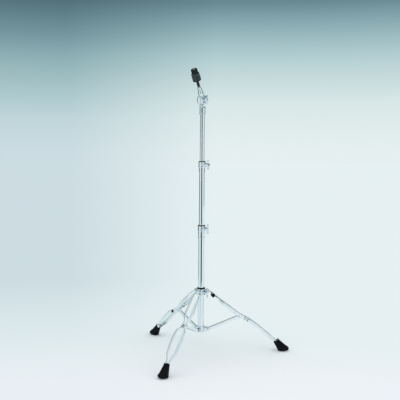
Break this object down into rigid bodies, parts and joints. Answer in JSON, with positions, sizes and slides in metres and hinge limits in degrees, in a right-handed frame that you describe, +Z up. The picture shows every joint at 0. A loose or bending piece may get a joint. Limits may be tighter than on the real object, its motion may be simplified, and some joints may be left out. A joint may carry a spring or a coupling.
{
  "type": "straight cymbal stand",
  "caption": "Chromed straight cymbal stand with telescoping tubes, folding tripod, toothed tilter, felts and rubber feet",
  "frame": {"origin": "the middle of the stand's bounding box, on the floor that the soles rest on", "axes": "+Z up along the pole; +X out along the right leg, with the other legs at 120 and 240 degrees about the pole"},
  "size_m": [0.5676, 0.6506, 1.1573],
  "materials": {
    "chrome": "polished chrome plate on steel",
    "cast_chrome": "polished chrome plate on castings",
    "rubber": "matt moulded black rubber",
    "nylon": "moulded black nylon",
    "felt": "pressed dark grey wool felt"
  },
  "bodies": {
    "base": {"base_tube": "chrome", "base_tube_plug": "nylon", "bottom_bracket": "cast_chrome", "bracket_rivet": "chrome", "base_collar": "cast_chrome", "base_collar_rivet": "chrome", "stay_pin_right_a": "chrome", "stay_pin_right_b": "chrome", "stay_pin_back_a": "chrome", "stay_pin_back_b": "chrome", "stay_pin_front_a": "chrome", "stay_pin_front_b": "chrome"},
    "hub": {"leg_hub": "cast_chrome", "hub_bush": "nylon", "leg_pin_right": "chrome", "leg_pin_back": "chrome", "leg_pin_front": "chrome"},
    "hub_wing": {"hub_wing_screw": "chrome"},
    "leg_right": {"leg_strip_right_a": "chrome", "leg_strip_right_b": "chrome", "stay_rivet_right": "chrome", "foot_right": "rubber", "foot_screw_right": "chrome", "leg_bumper": "rubber"},
    "leg_back": {"leg_strip_back_a": "chrome", "leg_strip_back_b": "chrome", "stay_rivet_back": "chrome", "foot_back": "rubber", "foot_screw_back": "chrome"},
    "leg_front": {"leg_strip_front_a": "chrome", "leg_strip_front_b": "chrome", "stay_rivet_front": "chrome", "foot_front": "rubber", "foot_screw_front": "chrome"},
    "stay_right": {"stay_right": "chrome"},
    "stay_back": {"stay_back": "chrome"},
    "stay_front": {"stay_front": "chrome"},
    "base_wing": {"base_wing_screw": "chrome"},
    "base_bush": {"base_bush": "nylon"},
    "middle": {"middle_tube": "chrome", "middle_tube_guide": "nylon", "middle_collar": "cast_chrome", "middle_collar_rivet": "chrome"},
    "middle_wing": {"middle_wing_screw": "chrome"},
    "middle_bush": {"middle_bush": "nylon"},
    "upper": {"upper_tube": "chrome", "upper_tube_guide": "nylon", "tilter_base": "cast_chrome", "tilter_rivet": "chrome", "tilter_bolt": "chrome"},
    "tilter_wing": {"tilter_wing_nut": "chrome"},
    "arm": {"tilter_arm": "cast_chrome", "rod_grub_screw": "chrome", "cymbal_rod": "chrome", "cymbal_sleeve": "nylon"},
    "lower_felt": {"lower_felt": "felt"},
    "upper_felt": {"upper_felt": "felt"},
    "top_nut": {"top_nut": "nylon"}
  },
  "joints": [
    {"name": "hub_slide", "type": "slide", "parent": "base", "child": "hub", "axis": [0, 0, 1], "range_m": [0, 0.14558]},
    {"name": "leg_right_fold", "type": "hinge", "parent": "hub", "child": "leg_right", "pos_m": [-0.05784, 0, 0.257], "axis": [0, 1, 0], "range_deg": [0, 43.61]},
    {"name": "leg_back_fold", "type": "hinge", "parent": "hub", "child": "leg_back", "pos_m": [-0.10284, 0.02598, 0.257], "axis": [-0.866, -0.5, 0], "range_deg": [0, 43.61]},
    {"name": "leg_front_fold", "type": "hinge", "parent": "hub", "child": "leg_front", "pos_m": [-0.10284, -0.02598, 0.257], "axis": [0.866, -0.5, 0], "range_deg": [0, 43.61]},
    {"name": "stay_right_fold", "type": "hinge", "parent": "leg_right", "child": "stay_right", "pos_m": [0.07055, 0, 0.14919], "axis": [0, 1, 0], "range_deg": [-104.33, 0]},
    {"name": "stay_back_fold", "type": "hinge", "parent": "leg_back", "child": "stay_back", "pos_m": [-0.16704, 0.13717, 0.14919], "axis": [-0.866, -0.5, 0], "range_deg": [-104.33, 0]},
    {"name": "stay_front_fold", "type": "hinge", "parent": "leg_front", "child": "stay_front", "pos_m": [-0.16704, -0.13717, 0.14919], "axis": [0.866, -0.5, 0], "range_deg": [-104.33, 0]},
    {"name": "hub_wing_turn", "type": "hinge", "parent": "hub", "child": "hub_wing", "pos_m": [-0.06884, -0.03291, 0.257], "axis": [0.5, -0.866, 0], "continuous": true},
    {"name": "base_wing_turn", "type": "hinge", "parent": "base", "child": "base_wing", "pos_m": [-0.07553, -0.01576, 0.5158], "axis": [0.6157, -0.788, 0], "continuous": true},
    {"name": "base_bush_turn", "type": "hinge", "parent": "base", "child": "base_bush", "pos_m": [-0.08784, 0, 0.515], "axis": [0, 0, 1], "continuous": true},
    {"name": "middle_tube_slide", "type": "slide", "parent": "base_bush", "child": "middle", "axis": [0, 0, 1], "range_m": [-0.215, 0.08]},
    {"name": "middle_wing_turn", "type": "hinge", "parent": "middle", "child": "middle_wing", "pos_m": [-0.07553, -0.01576, 0.7758], "axis": [0.6157, -0.788, 0], "continuous": true},
    {"name": "middle_bush_turn", "type": "hinge", "parent": "middle", "child": "middle_bush", "pos_m": [-0.08784, 0, 0.775], "axis": [0, 0, 1], "continuous": true},
    {"name": "upper_tube_slide", "type": "slide", "parent": "middle_bush", "child": "upper", "axis": [0, 0, 1], "range_m": [-0.185, 0.07]},
    {"name": "tilter_wing_turn", "type": "hinge", "parent": "upper", "child": "tilter_wing", "pos_m": [-0.07651, -0.00823, 1.0363], "axis": [0.809, -0.5878, 0], "continuous": true},
    {"name": "tilter_tilt", "type": "hinge", "parent": "upper", "child": "arm", "pos_m": [-0.08784, 0, 1.0363], "axis": [0.809, -0.5878, 0], "range_deg": [-117.8, 52.2]},
    {"name": "lower_felt_turn", "type": "hinge", "parent": "arm", "child": "lower_felt", "pos_m": [-0.11904, -0.04295, 1.11868], "axis": [-0.3184, -0.4383, 0.8406], "continuous": true},
    {"name": "upper_felt_turn", "type": "hinge", "parent": "arm", "child": "upper_felt", "pos_m": [-0.1235, -0.04908, 1.13044], "axis": [-0.3184, -0.4383, 0.8406], "continuous": true},
    {"name": "top_nut_turn", "type": "hinge", "parent": "arm", "child": "top_nut", "pos_m": [-0.1286, -0.0561, 1.14389], "axis": [-0.3184, -0.4383, 0.8406], "continuous": true}
  ],
  "couplings": [
    {"joint": "leg_right_fold", "follows": "hub_slide", "rad_per_m": 5.2222},
    {"joint": "leg_back_fold", "follows": "hub_slide", "rad_per_m": 5.2222},
    {"joint": "leg_front_fold", "follows": "hub_slide", "rad_per_m": 5.2222},
    {"joint": "stay_right_fold", "follows": "hub_slide", "rad_per_m": -12.502},
    {"joint": "stay_back_fold", "follows": "hub_slide", "rad_per_m": -12.502},
    {"joint": "stay_front_fold", "follows": "hub_slide", "rad_per_m": -12.502}
  ]
}
